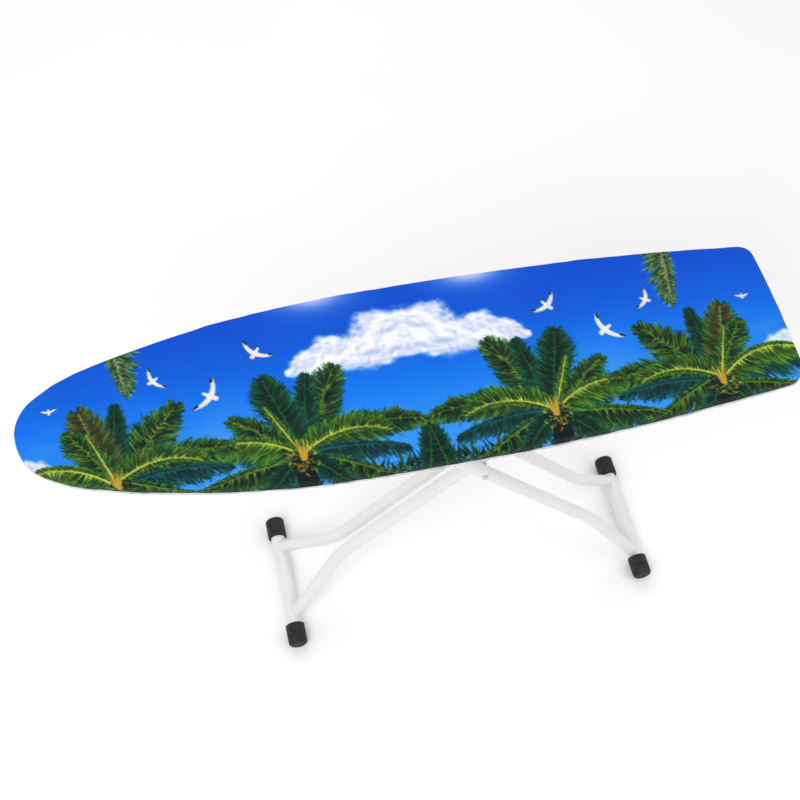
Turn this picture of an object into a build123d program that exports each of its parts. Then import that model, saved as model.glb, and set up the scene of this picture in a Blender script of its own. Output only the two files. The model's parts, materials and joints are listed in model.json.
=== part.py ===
from build123d import *
from math import cos, degrees, radians, sin
import os

# Folding ironing board: a perforated steel top with a felt pad and a printed cover,
# carried by two crossed tube legs that slide in a notched rack to fold or change height.
#
# Frame: the origin is on the floor under the middle of the top, +X points to the square
# tail, -X to the rounded nose, +Y to the far long side and +Z up. Millimetres.

os.makedirs("parts", exist_ok=True)

# ---------------------------------------------------------------- driving dimensions
# Ironing top, seen from above
top_length = 1110.0
nose_x = -top_length / 2
tail_x = top_length / 2
tail_corner_radius = 20.0
# Each long side is four tangent arcs from the nose to the tail corner: radius and sweep
side_arcs = [(70.0, 52.2), (204.0, 20.9), (1343.0, 14.5), (4124.0, 9.45)]
# The last arc gives up this share of an inset, because the slightly bowed tail moves in too
tail_trim = 0.88

# Leg linkage: both legs are equal, so the rack axle runs in a straight line
rest_angle = 49.6
leg_length = 818.0
foot_to_pivot = 499.0
pivot_to_top = leg_length - foot_to_pivot
foot_to_bend = 145.0
bend_radius = 180.0
hinge_x = 326.0
foot_axis_z = 16.7

leg_tube_radius = 11.0
leg_tube_wall = 1.2
tube_overrun = 12.0
plug_head = 2.0
plug_depth = 22.0
inner_spread_top = 16.5
inner_spread_foot = 70.0
outer_spread_top = 40.0
outer_spread_foot = 76.5

foot_tube_radius = 12.5
foot_half_length = 125.0
cap_radius = 17.0
cap_length = 38.0
cap_wall = 3.0
cap_groove_places = (10.0, 15.0, 20.0)
cap_groove_radius = 1.2

axle_radius = 4.0
running_gap = 0.05
pivot_bolt_radius = 3.0
fit_gap = 0.1
drill_reach = 40.0

# Ironing top, layer by layer
hinge_drop = 36.4
cover_thickness = 0.8
pad_thickness = 4.8
pad_gap = 0.2
sheet = 1.2
cover_side = 20.0
hem_height = 5.3
hem_width = 3.0
hem_inset = 0.4
hem_drop = 0.2
rim_inset = 1.4
rim_height = 14.0
rim_flange = 8.0
perforation_radius = 4.0
perforation_pitch = 40.0
perforation_margin = 18.0

# Rack and hinge brackets under the top
web_y = 58.0
web_thickness = 2.0
flange_width = 14.0
slot_gap = 0.4
bush_radius = 5.0
hinge_bush_radius = 6.0
hinge_bush_flange = 8.0
hinge_bush_reach = 2.6
spacer_radius = 6.0
notch_pitch = 43.75
notch_rise = 6.5
raised_angle = 67.6
folded_angle = 2.0
rail_end = 22.0
rail_web_drop = 14.0
bracket_half = 28.0
bracket_ear = 12.0
rivet_radius = 2.0
rivet_head_radius = 4.0
rivet_head = 2.0
rivet_y = 65.0

# Cross ribs: a shallow channel with two feet
rib_width = 30.0
rib_depth = 8.0
rib_foot = 10.0
rib_margin = 16.0
rib_places = {"nose": -430.0, "middle": 250.0, "tail": 440.0}

# ---------------------------------------------------------------- derived places
leg_cos = cos(radians(rest_angle))
leg_sin = sin(radians(rest_angle))
hinge_z = foot_axis_z + leg_length * leg_sin
pivot_x = hinge_x - pivot_to_top * leg_cos
pivot_z = hinge_z - pivot_to_top * leg_sin
rack_x = pivot_x - pivot_to_top * leg_cos
nose_foot_x = hinge_x - leg_length * leg_cos
tail_foot_x = pivot_x + foot_to_pivot * leg_cos

cover_top = hinge_z + hinge_drop
pad_top = cover_top - cover_thickness - pad_gap
panel_top = pad_top - pad_thickness
panel_under = panel_top - sheet
cover_bottom = cover_top - cover_side
rim_bottom = panel_top - rim_height

slot_low_x = hinge_x - 2 * pivot_to_top * cos(radians(folded_angle))
slot_high_x = hinge_x - 2 * pivot_to_top * cos(radians(raised_angle))
rail_low_x = slot_low_x - rail_end
rail_high_x = slot_high_x + rail_end
rail_rivet_xs = [rail_low_x + 14, -180.0, -30.0, rail_high_x - 14]
bracket_rivet_xs = [hinge_x - 18, hinge_x + 18]

SIDES = {"near": -1, "far": 1}


# ---------------------------------------------------------------- shared shapes
def outline(inset):
    """The plan of the ironing top, drawn in from the cover's edge by an inset."""
    with BuildSketch() as plan:
        with BuildLine() as edge:
            arc = None
            for radius, sweep in side_arcs:
                start = arc @ 1 if arc else (nose_x + inset, 0)
                tangent = arc % 1 if arc else (0, 1)
                if radius == side_arcs[-1][0]:
                    sweep -= degrees(tail_trim * inset / radius)
                arc = JernArc(start, tangent, radius - inset, -sweep)
            corner = arc @ 1
            mirror(about=Plane.XZ)
            ThreePointArc(corner, (tail_x - inset, 0), (corner.X, -corner.Y))
        make_face()
        corners = plan.vertices().filter_by(lambda v: v.X > tail_x - 30)
        fillet(corners, radius=tail_corner_radius - inset)
    return plan.sketch


top_face = outline(0)


def half_width(x):
    """Half the width of the top at x."""
    cut = Edge.make_line((x, 0), (x, top_length)).intersect(top_face)
    return max(v.Y for v in cut.vertices())


def ring(outer_inset, inner_inset, bottom, height):
    """A closed band that follows the top's edge."""
    with BuildPart() as band:
        with BuildSketch(Plane.XY.offset(bottom)):
            add(outline(outer_inset))
            add(outline(inner_inset), mode=Mode.SUBTRACT)
        extrude(amount=height)
    return band.part


def cross_pin(radius, y_start, y_end, x, z):
    """A round bar along Y between two places."""
    with BuildPart() as pin:
        with Locations((x, (y_start + y_end) / 2, z)):
            Cylinder(radius, abs(y_end - y_start), rotation=(90, 0, 0))
    return pin.part


def sleeve(outer, inner, y_start, y_end, x, z):
    """A round tube along Y between two places."""
    with BuildPart() as tube:
        with Locations((x, (y_start + y_end) / 2, z)):
            Cylinder(outer, abs(y_end - y_start), rotation=(90, 0, 0))
            Cylinder(inner, abs(y_end - y_start) + 2, rotation=(90, 0, 0), mode=Mode.SUBTRACT)
    return tube.part


def save(part, name):
    """Label a finished piece and write it."""
    part.label = name
    export_step(part, f"parts/{name}.step")


def leg_plane(foot_x, lean):
    """Plane of a leg frame: local x runs up the leg, local y is world Y."""
    return Plane(origin=(foot_x, 0, foot_axis_z), x_dir=(lean * leg_cos, 0, leg_sin),
                 z_dir=(-leg_sin, 0, lean * leg_cos))


def leg_tube(foot_x, lean, foot_y, top_y, pivot_hole, top_hole):
    """One bent leg tube, coped to its foot tube and drilled for the pivot and the top axle."""
    plane = leg_plane(foot_x, lean)
    top_x = foot_x + lean * leg_length * leg_cos
    with BuildPart() as tube:
        with BuildLine(plane) as path:
            FilletPolyline((0, foot_y), (foot_to_bend, top_y), (leg_length + tube_overrun, top_y),
                           radius=bend_radius)
        start = Plane(origin=path.line @ 0, z_dir=path.line % 0)
        with BuildSketch(start):
            Circle(leg_tube_radius)
            Circle(leg_tube_radius - leg_tube_wall, mode=Mode.SUBTRACT)
        sweep()
        with Locations((foot_x, foot_y, foot_axis_z)):
            Cylinder(foot_tube_radius, 1.5 * drill_reach, rotation=(90, 0, 0), mode=Mode.SUBTRACT)
        with Locations((pivot_x, top_y, pivot_z)):
            Cylinder(pivot_hole, drill_reach, rotation=(90, 0, 0), mode=Mode.SUBTRACT)
        with Locations((top_x, top_y, hinge_z)):
            Cylinder(top_hole, drill_reach, rotation=(90, 0, 0), mode=Mode.SUBTRACT)
    return tube.part


def tube_plug(foot_x, lean, top_y, hole):
    """Plastic plug that closes the top end of a leg tube and takes the axle."""
    bore = leg_tube_radius - leg_tube_wall
    top_x = foot_x + lean * leg_length * leg_cos
    end = Plane(origin=leg_plane(foot_x, lean).from_local_coords((leg_length + tube_overrun, top_y, 0)),
                z_dir=(lean * leg_cos, 0, leg_sin))
    with BuildPart() as plug:
        with BuildSketch(end):
            Circle(leg_tube_radius)
        extrude(amount=plug_head)
        fillet(plug.faces().filter_by(GeomType.PLANE).sort_by(Axis.Z)[-1].edges(), radius=0.8)
        with BuildSketch(end):
            Circle(bore)
        extrude(amount=-plug_depth)
        with Locations((top_x, top_y, hinge_z)):
            Cylinder(hole, drill_reach, rotation=(90, 0, 0), mode=Mode.SUBTRACT)
    return plug.part


# ---------------------------------------------------------------- printed cover and pad
with BuildPart() as cover:
    with BuildSketch(Plane.XY.offset(cover_bottom)):
        add(outline(0))
    extrude(amount=cover_side)
    with BuildSketch(Plane.XY.offset(cover_bottom)):
        add(outline(cover_thickness))
    extrude(amount=cover_side - cover_thickness, mode=Mode.SUBTRACT)
save(cover.part, "cover")

hem_bottom = cover_bottom - hem_drop - hem_height
save(ring(hem_inset, hem_inset + hem_width, hem_bottom, hem_height), "hem_binding")

with BuildPart() as felt_pad:
    with BuildSketch(Plane.XY.offset(panel_top)):
        add(outline(rim_inset))
    extrude(amount=pad_thickness)
save(felt_pad.part, "felt_pad")

# ---------------------------------------------------------------- steel top
def perforations():
    """Centres of the steam holes: staggered rows that stay clear of the edge."""
    centres = []
    for row in range(-3, 4):
        y = row * perforation_pitch
        shift = perforation_pitch / 2 if row % 2 else 0
        for column in range(-13, 14):
            x = column * perforation_pitch + shift
            if half_width(x) - abs(y) > perforation_margin and x < tail_x - 24:
                centres.append((x, y))
    return centres


with BuildPart() as top_panel:
    with BuildSketch(Plane.XY.offset(panel_under)):
        add(outline(rim_inset + sheet))
        with Locations(*perforations()):
            Circle(perforation_radius, mode=Mode.SUBTRACT)
        with Locations(*[(x, s * rivet_y) for x in rail_rivet_xs + bracket_rivet_xs for s in (-1, 1)]):
            Circle(rivet_radius, mode=Mode.SUBTRACT)
    extrude(amount=sheet)
save(top_panel.part, "top_panel")

with BuildPart() as edge_rim:
    with BuildSketch(Plane.XY.offset(rim_bottom)):
        add(outline(rim_inset))
    extrude(amount=rim_height)
    with BuildSketch(Plane.XY.offset(rim_bottom + sheet)):
        add(outline(rim_inset + sheet))
    extrude(amount=rim_height, mode=Mode.SUBTRACT)
    with BuildSketch(Plane.XY.offset(rim_bottom - 1)):
        add(outline(rim_inset + sheet + rim_flange))
    extrude(amount=rim_height, mode=Mode.SUBTRACT)
save(edge_rim.part, "edge_rim")


def cross_rib(x):
    """A shallow pressed channel across the underside of the top."""
    half = half_width(x) - rib_margin
    foot_x = (rib_width + rib_foot - 2) / 2
    with BuildPart() as rib:
        with BuildSketch(Plane.XZ.offset(-half)):
            with Locations((x, panel_under - rib_depth / 2)):
                Rectangle(rib_width, rib_depth)
            with Locations((x, panel_under - rib_depth / 2 + sheet)):
                Rectangle(rib_width - 2 * sheet, rib_depth, mode=Mode.SUBTRACT)
            with Locations((x - foot_x, panel_under - sheet / 2), (x + foot_x, panel_under - sheet / 2)):
                Rectangle(rib_foot, sheet)
        extrude(amount=2 * half)
    return rib.part


for place, x in rib_places.items():
    save(cross_rib(x), f"cross_rib_{place}")


# ---------------------------------------------------------------- rack rails and hinge brackets
slot_half = bush_radius + slot_gap
slot_start = slot_low_x - slot_half - 1
slot_end = slot_high_x + slot_half + 1
notch_xs = [rack_x + notch_pitch * step for step in range(-3, 4)]


def rack_rail(side):
    """A steel angle whose web holds the axle's slot with height notches above it."""
    web_low = hinge_z - rail_web_drop
    length = rail_high_x - rail_low_x
    middle = (rail_high_x + rail_low_x) / 2
    with BuildPart() as rail:
        with BuildSketch(Plane.XZ.offset(-side * web_y)):
            with Locations((middle, (web_low + panel_under) / 2)):
                Rectangle(length, panel_under - web_low)
            with Locations(((slot_start + slot_end) / 2, hinge_z)):
                Rectangle(slot_end - slot_start, 2 * slot_half, mode=Mode.SUBTRACT)
            with Locations(*[(x, hinge_z + notch_rise / 2) for x in notch_xs]):
                Rectangle(2 * slot_half, notch_rise, mode=Mode.SUBTRACT)
            with Locations(*[(x, hinge_z + notch_rise) for x in notch_xs]):
                Circle(slot_half, mode=Mode.SUBTRACT)
        extrude(amount=web_thickness / 2, both=True)
        with Locations((middle, side * (web_y + flange_width / 2), panel_under - web_thickness / 2)):
            Box(length, flange_width + web_thickness, web_thickness)
        with Locations(*[(x, side * rivet_y, panel_under) for x in rail_rivet_xs]):
            Cylinder(rivet_radius, 10, mode=Mode.SUBTRACT)
    return rail.part


def hinge_bracket(side):
    """A short steel angle that carries one end of the fixed hinge axle."""
    with BuildPart() as bracket:
        with BuildSketch(Plane.XZ.offset(-side * web_y)):
            with Locations((hinge_x, (hinge_z + panel_under) / 2)):
                Rectangle(2 * bracket_half, panel_under - hinge_z)
            with Locations((hinge_x, hinge_z)):
                Circle(bracket_ear)
                with Locations((0, bracket_ear / 2)):
                    Rectangle(2 * bracket_ear, bracket_ear)
                Circle(hinge_bush_radius, mode=Mode.SUBTRACT)
        extrude(amount=web_thickness / 2, both=True)
        with Locations((hinge_x, side * (web_y + flange_width / 2), panel_under - web_thickness / 2)):
            Box(2 * bracket_half, flange_width + web_thickness, web_thickness)
        with Locations(*[(x, side * rivet_y, panel_under) for x in bracket_rivet_xs]):
            Cylinder(rivet_radius, 10, mode=Mode.SUBTRACT)
    return bracket.part


def rivets(xs):
    """Rivets through the flanges and the panel, in pairs on both sides."""
    head_z = panel_under - web_thickness
    with BuildPart() as group:
        for x in xs:
            for side in (-1, 1):
                with Locations((x, side * rivet_y, (head_z + panel_top) / 2)):
                    Cylinder(rivet_radius, panel_top - head_z)
                with Locations((x, side * rivet_y, head_z - rivet_head / 2)):
                    Cylinder(rivet_head_radius, rivet_head)
    return group.part


for name, side in SIDES.items():
    save(rack_rail(side), f"rack_rail_{name}")
    save(hinge_bracket(side), f"hinge_bracket_{name}")
save(rivets(rail_rivet_xs), "rail_rivets")
save(rivets(bracket_rivet_xs), "bracket_rivets")

web_near_y = web_y - web_thickness / 2
web_far_y = web_y + web_thickness / 2
for name, side in SIDES.items():
    with BuildPart() as flanged_bush:
        add(sleeve(hinge_bush_radius, axle_radius + running_gap, side * web_near_y, side * web_far_y,
                   hinge_x, hinge_z))
        add(sleeve(hinge_bush_flange, axle_radius + running_gap, side * web_far_y,
                   side * (web_y + hinge_bush_reach), hinge_x, hinge_z))
    save(flanged_bush.part, f"hinge_bush_{name}")

# ---------------------------------------------------------------- inner leg, foot under the nose
for name, side in SIDES.items():
    save(leg_tube(nose_foot_x, 1, side * inner_spread_foot, side * inner_spread_top,
                  pivot_bolt_radius, axle_radius), f"inner_leg_tube_{name}")
    save(tube_plug(nose_foot_x, 1, side * inner_spread_top, axle_radius), f"inner_tube_plug_{name}")
    save(sleeve(spacer_radius, axle_radius, side * (inner_spread_top + leg_tube_radius + 2 * fit_gap),
                side * (web_near_y - 2 * fit_gap), hinge_x, hinge_z), f"hinge_spacer_{name}")

axle_reach = 70.0
hinge_clip_radius = 6.5
hinge_clip_start = web_y + 5.0
hinge_clip_end = web_y + 7.5
save(cross_pin(axle_radius, -axle_reach, axle_reach, hinge_x, hinge_z), "hinge_axle")
with BuildPart() as hinge_axle_clips:
    for side in SIDES.values():
        add(sleeve(hinge_clip_radius, axle_radius, side * hinge_clip_start, side * hinge_clip_end,
                   hinge_x, hinge_z))
save(hinge_axle_clips.part, "hinge_axle_clips")


def foot_tube(x):
    """The straight tube across the bottom of a leg frame."""
    return sleeve(foot_tube_radius, foot_tube_radius - leg_tube_wall, -(foot_half_length - cap_wall),
                  foot_half_length - cap_wall, x, foot_axis_z)


def foot_cap(x, side):
    """A rubber cap with a domed end, grip grooves and a narrow flat sole."""
    outer_end = side * foot_half_length
    middle = outer_end - side * cap_length / 2
    with BuildPart() as cap:
        with Locations((x, middle, foot_axis_z)):
            Cylinder(cap_radius, cap_length, rotation=(90, 0, 0))
        ends = cap.edges().filter_by(GeomType.CIRCLE).sort_by(Axis.Y)
        fillet(ends[-1] if side > 0 else ends[0], radius=6)
        fillet(ends[0] if side > 0 else ends[-1], radius=1.5)
        for step in cap_groove_places:
            with Locations((x, outer_end - side * step, foot_axis_z)):
                Torus(cap_radius + cap_groove_radius / 2, cap_groove_radius, rotation=(90, 0, 0),
                      mode=Mode.SUBTRACT)
        with Locations((x, middle - side * cap_wall, foot_axis_z)):
            Cylinder(foot_tube_radius, cap_length, rotation=(90, 0, 0), mode=Mode.SUBTRACT)
        with Locations((x, middle, 0)):
            Box(4 * cap_radius, 2 * cap_length, cap_radius, align=(Align.CENTER, Align.CENTER, Align.MAX),
                mode=Mode.SUBTRACT)
    return cap.part


for place, x in {"nose": nose_foot_x, "tail": tail_foot_x}.items():
    save(foot_tube(x), f"{place}_foot_tube")
    for name, side in SIDES.items():
        save(foot_cap(x, side), f"{place}_foot_cap_{name}")

# Pivot bolt through all four leg tubes
washer_start = inner_spread_top + leg_tube_radius + fit_gap
washer_end = outer_spread_top - leg_tube_radius - fit_gap
bolt_seat = outer_spread_top + leg_tube_radius + fit_gap
bolt_head = 2.8
bolt_head_radius = 5.0
bolt_tail = 4.8
nut_height = 4.2
nut_radius = 5.8
washer_radius = 9.0
pivot_spacer_radius = 7.0
with BuildPart() as pivot_bolt:
    add(cross_pin(pivot_bolt_radius, -bolt_seat, bolt_seat + bolt_tail, pivot_x, pivot_z))
    with Locations((pivot_x, -bolt_seat - bolt_head / 2, pivot_z)):
        Cylinder(bolt_head_radius, bolt_head, rotation=(90, 0, 0))
    fillet(pivot_bolt.faces().sort_by(Axis.Y)[0].edges(), radius=1.6)
save(pivot_bolt.part, "pivot_bolt")

with BuildPart() as pivot_nut:
    with BuildSketch(Plane.XZ.offset(-bolt_seat)):
        with Locations((pivot_x, pivot_z)):
            RegularPolygon(radius=nut_radius, side_count=6)
            Circle(pivot_bolt_radius, mode=Mode.SUBTRACT)
    extrude(amount=-nut_height)
save(pivot_nut.part, "pivot_nut")

with BuildPart() as pivot_washers:
    for side in SIDES.values():
        add(sleeve(washer_radius, pivot_bolt_radius, side * washer_start, side * washer_end,
                   pivot_x, pivot_z))
save(pivot_washers.part, "pivot_washers")

spacer_reach = inner_spread_top - leg_tube_radius - fit_gap
save(sleeve(pivot_spacer_radius, pivot_bolt_radius, -spacer_reach, spacer_reach, pivot_x, pivot_z),
     "pivot_spacer")

# ---------------------------------------------------------------- outer leg, foot under the tail
rack_bush_end = web_y + 3.2
rack_clip_start = web_y + 3.3
rack_clip_end = web_y + 5.3
rack_clip_radius = 6.0
for name, side in SIDES.items():
    save(leg_tube(tail_foot_x, -1, side * outer_spread_foot, side * outer_spread_top,
                  pivot_bolt_radius + running_gap, axle_radius), f"outer_leg_tube_{name}")
    save(tube_plug(tail_foot_x, -1, side * outer_spread_top, axle_radius), f"outer_tube_plug_{name}")
    save(sleeve(bush_radius, axle_radius, side * (outer_spread_top + leg_tube_radius + 2 * fit_gap),
                side * rack_bush_end, rack_x, hinge_z), f"rack_bush_{name}")

save(cross_pin(axle_radius, -axle_reach, axle_reach, rack_x, hinge_z), "rack_axle")
with BuildPart() as rack_axle_clips:
    for side in SIDES.values():
        add(sleeve(rack_clip_radius, axle_radius, side * rack_clip_start, side * rack_clip_end,
                   rack_x, hinge_z))
save(rack_axle_clips.part, "rack_axle_clips")

# ---------------------------------------------------------------- height lever on the near rail
lever_y = -(web_y + 7.0)
lever_z = panel_under - 9.5
lever_pin_radius = 2.5
lug_radius = 5.0
lug_thickness = 3.0
flap_low_x = rail_low_x + 12
flap_high_x = rail_high_x - 12
lug_xs = [flap_low_x - 5, flap_high_x + 5]
knuckle_radius = 4.3
knuckle_length = 40.0
knuckle_xs = (flap_low_x, (flap_low_x + flap_high_x - knuckle_length) / 2, flap_high_x - knuckle_length)
flap_sheet = 1.5
flap_plate_y = -76.0
flap_top_z = lever_z - knuckle_radius + flap_sheet
flap_lip_z = hinge_z - 8.0
flap_lip = 12.5

spring_wire_radius = 0.6
spring_radius = 3.6
spring_pitch = 1.6
spring_length = 16.0
spring_x = flap_low_x + 70

grip_y = -114.0
grip_z = hinge_z - 2.0
grip_start = 118.0
grip_length = 104.0
grip_end_wall = 4.0
lever_rod_radius = 3.5
rod_y = flap_plate_y - flap_sheet / 2 - lever_rod_radius - 0.05
rod_start = 30.0
rod_bend_start = 95.0
rod_bend_end = grip_start - 16.0
rod_bend_radius = 16.0

with BuildPart() as lever_lugs:
    hanger = panel_under - web_thickness - lever_z
    for x in lug_xs:
        with BuildSketch(Plane.YZ.offset(x - lug_thickness / 2)):
            with Locations((lever_y, lever_z)):
                Circle(lug_radius)
                with Locations((0, hanger / 2)):
                    Rectangle(2 * lug_radius, hanger)
                Circle(lever_pin_radius, mode=Mode.SUBTRACT)
        extrude(amount=lug_thickness)
save(lever_lugs.part, "lever_lugs")

with BuildPart() as lever_pin:
    with BuildSketch(Plane.YZ.offset(lug_xs[0] - 5)):
        with Locations((lever_y, lever_z)):
            Circle(lever_pin_radius)
    extrude(amount=lug_xs[1] - lug_xs[0] + 10)
save(lever_pin.part, "lever_pin")

with BuildPart() as lever_flap:
    with BuildSketch(Plane.YZ.offset(flap_low_x)):
        with Locations(((flap_plate_y + lever_y) / 2, flap_top_z - flap_sheet / 2)):
            Rectangle(lever_y - flap_plate_y, flap_sheet)
        with Locations((flap_plate_y, (flap_top_z + flap_lip_z) / 2)):
            Rectangle(flap_sheet, flap_top_z - flap_lip_z)
        with Locations((flap_plate_y + (flap_lip - flap_sheet) / 2, flap_lip_z + flap_sheet / 2)):
            Rectangle(flap_lip, flap_sheet)
    extrude(amount=flap_high_x - flap_low_x)
    for x in knuckle_xs:
        with BuildSketch(Plane.YZ.offset(x)):
            with Locations((lever_y, lever_z)):
                Circle(knuckle_radius)
        extrude(amount=knuckle_length)
    with BuildSketch(Plane.YZ.offset(flap_low_x - 1)):
        with Locations((lever_y, lever_z)):
            Circle(lever_pin_radius + running_gap)
    extrude(amount=flap_high_x - flap_low_x + 2, mode=Mode.SUBTRACT)
    # Window that leaves the spring free on the pin
    with Locations((spring_x, lever_y, lever_z)):
        Box(spring_length + 6, 12, 11, mode=Mode.SUBTRACT)
save(lever_flap.part, "lever_flap")

with BuildPart() as lever_rod:
    with BuildLine() as rod_path:
        FilletPolyline((rod_start, rod_y, grip_z), (rod_bend_start, rod_y, grip_z),
                       (rod_bend_end, grip_y, grip_z),
                       (grip_start + grip_length - grip_end_wall, grip_y, grip_z), radius=rod_bend_radius)
    with BuildSketch(Plane(origin=rod_path.line @ 0, z_dir=rod_path.line % 0)):
        Circle(lever_rod_radius)
    sweep()
save(lever_rod.part, "lever_rod")

with BuildPart() as lever_grip:
    with BuildSketch(Plane.YZ.offset(grip_start)):
        with Locations((grip_y, grip_z)):
            RectangleRounded(17, 15, 6)
    extrude(amount=grip_length)
    fillet(lever_grip.edges().group_by(Axis.X)[-1], radius=3)
    with BuildSketch(Plane.YZ.offset(grip_start)):
        with Locations((grip_y, grip_z)):
            Circle(lever_rod_radius)
    extrude(amount=grip_length - grip_end_wall, mode=Mode.SUBTRACT)
save(lever_grip.part, "lever_grip")

with BuildPart() as lever_spring:
    with BuildLine() as coil:
        Helix(pitch=spring_pitch, height=spring_length, radius=spring_radius,
              center=(spring_x - spring_length / 2, lever_y, lever_z), direction=(1, 0, 0))
    with BuildSketch(Plane(origin=coil.line @ 0, z_dir=coil.line % 0)):
        Circle(spring_wire_radius)
    sweep(is_frenet=True)
save(lever_spring.part, "lever_spring")
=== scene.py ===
import json
import math

import bpy
import numpy as np
from mathutils import Matrix, Vector


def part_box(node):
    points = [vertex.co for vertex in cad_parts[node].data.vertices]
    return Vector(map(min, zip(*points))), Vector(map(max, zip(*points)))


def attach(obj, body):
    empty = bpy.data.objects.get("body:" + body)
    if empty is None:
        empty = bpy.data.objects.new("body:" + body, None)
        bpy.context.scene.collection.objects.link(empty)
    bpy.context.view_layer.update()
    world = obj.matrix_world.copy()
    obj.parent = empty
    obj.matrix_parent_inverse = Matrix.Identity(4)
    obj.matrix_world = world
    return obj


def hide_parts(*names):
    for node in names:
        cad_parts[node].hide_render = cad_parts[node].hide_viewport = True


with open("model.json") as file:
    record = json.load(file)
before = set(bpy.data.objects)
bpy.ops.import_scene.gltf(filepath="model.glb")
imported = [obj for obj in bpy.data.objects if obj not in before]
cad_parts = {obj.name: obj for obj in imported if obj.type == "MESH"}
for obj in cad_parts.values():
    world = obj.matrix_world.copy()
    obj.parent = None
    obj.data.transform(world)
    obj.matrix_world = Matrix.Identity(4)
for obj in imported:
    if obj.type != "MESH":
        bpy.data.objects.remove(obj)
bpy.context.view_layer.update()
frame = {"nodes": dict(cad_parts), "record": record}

MM = 0.001
BODY = "board"

# ---------------------------------------------------------------- places read from the frame
COVER_LOW, COVER_HIGH = (Vector(p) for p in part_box("cover"))
PAD_LOW, PAD_HIGH = (Vector(p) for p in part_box("felt_pad"))
HEM_LOW, HEM_HIGH = (Vector(p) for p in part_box("hem_binding"))

# The top's plan: four tangent arcs a side (radius, sweep in degrees), then a rounded tail corner.
# The corner takes a share of its radius off the last arc, and ends at the tail's heading
SIDE_ARCS = ((70 * MM, 52.2), (204 * MM, 20.9), (1343 * MM, 14.5), (4124 * MM, 9.45))
CORNER_RADIUS = 20 * MM
CORNER_SHARE = 0.831
TAIL_HEADING = -math.pi / 2 + 0.06


# ---------------------------------------------------------------- the plan outline
def arc_points(x, y, heading, radius, turn, count):
    """Points and headings of an arc that turns right from a place and a heading."""
    centre = (x + radius * math.sin(heading), y - radius * math.cos(heading))
    angle = heading - np.linspace(0, turn, count)
    return np.stack([centre[0] - radius * np.sin(angle), centre[1] + radius * np.cos(angle)], 1), angle


def half_outline(inset):
    """Arc length, points and outward normals from the nose tip by the far side to the tail's middle."""
    x, y, heading = COVER_LOW.x + inset, 0.0, math.radians(90)
    points, headings = [], []
    for radius, sweep in SIDE_ARCS:
        turn = math.radians(sweep)
        if radius == SIDE_ARCS[-1][0]:
            turn -= CORNER_SHARE * CORNER_RADIUS / radius
        count = max(int(turn * radius / (0.4 * MM)), 8)
        arc, angle = arc_points(x, y, heading, radius - inset, turn, count)
        points.append(arc)
        headings.append(angle)
        heading -= turn
        x, y = arc[-1]
    corner, angle = arc_points(x, y, heading, CORNER_RADIUS - inset, heading - TAIL_HEADING, 80)
    points.append(corner)
    headings.append(angle)
    x, y = corner[-1]
    t = np.linspace(0, 1, 300)[1:]
    points.append(np.stack([x + (COVER_HIGH.x - inset - x) * (2 * t - t * t), y * (1 - t)], 1))
    headings.append(TAIL_HEADING + (-math.pi / 2 - TAIL_HEADING) * t)
    points = np.concatenate(points)
    headings = np.concatenate(headings)
    keep = np.concatenate([[True], np.hypot(*np.diff(points, axis=0).T) > 1e-9])
    points, headings = points[keep], headings[keep]
    along = np.concatenate([[0], np.cumsum(np.hypot(*np.diff(points, axis=0).T))])
    return along, points, np.stack([-np.sin(headings), np.cos(headings)], 1)


def read_at(along, values, where):
    """Values given along the outline, read at other arc lengths."""
    return np.stack([np.interp(where, along, values[:, k]) for k in range(values.shape[1])], -1)


def flip(p):
    """The same points on the near side."""
    return p * np.array([1, -1])


def perimeter(inset, count):
    """Evenly spaced closed loop round the top, with outward normals."""
    along, points, normals = half_outline(inset)
    s = np.linspace(0, along[-1], count // 2 + 1)
    p, n = read_at(along, points, s), read_at(along, normals, s)
    return np.concatenate([p, flip(p[-2:0:-1])]), np.concatenate([n, flip(n[-2:0:-1])])


def plan_grid(inset, rows, columns):
    """A four-sided grid that fills the plan, its index table, its edge loop and the loop's normals."""
    along, points, normals = half_outline(inset)
    nose_end = math.radians(45) * (SIDE_ARCS[0][0] - inset)
    diagonal = np.abs(normals[:, 0] - normals[:, 1]) + (points[:, 0] < 0.8 * COVER_HIGH.x)
    corner = along[np.argmin(diagonal)]
    side = np.linspace(nose_end, corner, rows + 1)
    nose_half = np.linspace(0, nose_end, columns // 2 + 1)
    tail_half = np.linspace(corner, along[-1], columns // 2 + 1)

    def edges(values):
        far, up, end = (read_at(along, values, s) for s in (side, nose_half, tail_half))
        nose = np.concatenate([flip(up[::-1]), up[1:]])
        tail = np.concatenate([flip(end), end[::-1][1:]])
        return far, flip(far), nose, tail

    far, near, nose, tail = edges(points)
    u = np.linspace(0, 1, rows + 1)[:, None, None]
    v = np.linspace(0, 1, columns + 1)[None, :, None]
    patch = ((1 - u) * nose[None] + u * tail[None] + (1 - v) * near[:, None] + v * far[:, None]
             - (1 - u) * (1 - v) * near[0] - (1 - u) * v * far[0]
             - u * (1 - v) * near[-1] - u * v * far[-1])
    index = np.arange(patch.shape[0] * patch.shape[1]).reshape(patch.shape[:2])
    loop = np.concatenate([index[0, :-1], index[:-1, -1], index[-1, :0:-1], index[:0:-1, 0]])
    far_n, near_n, nose_n, tail_n = edges(normals)
    outward = np.concatenate([nose_n[:-1], far_n[:-1], tail_n[:0:-1], near_n[:0:-1]])
    return patch.reshape(-1, 2), index, loop, outward


# ---------------------------------------------------------------- meshes
def link(o):
    bpy.context.scene.collection.objects.link(o)


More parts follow.
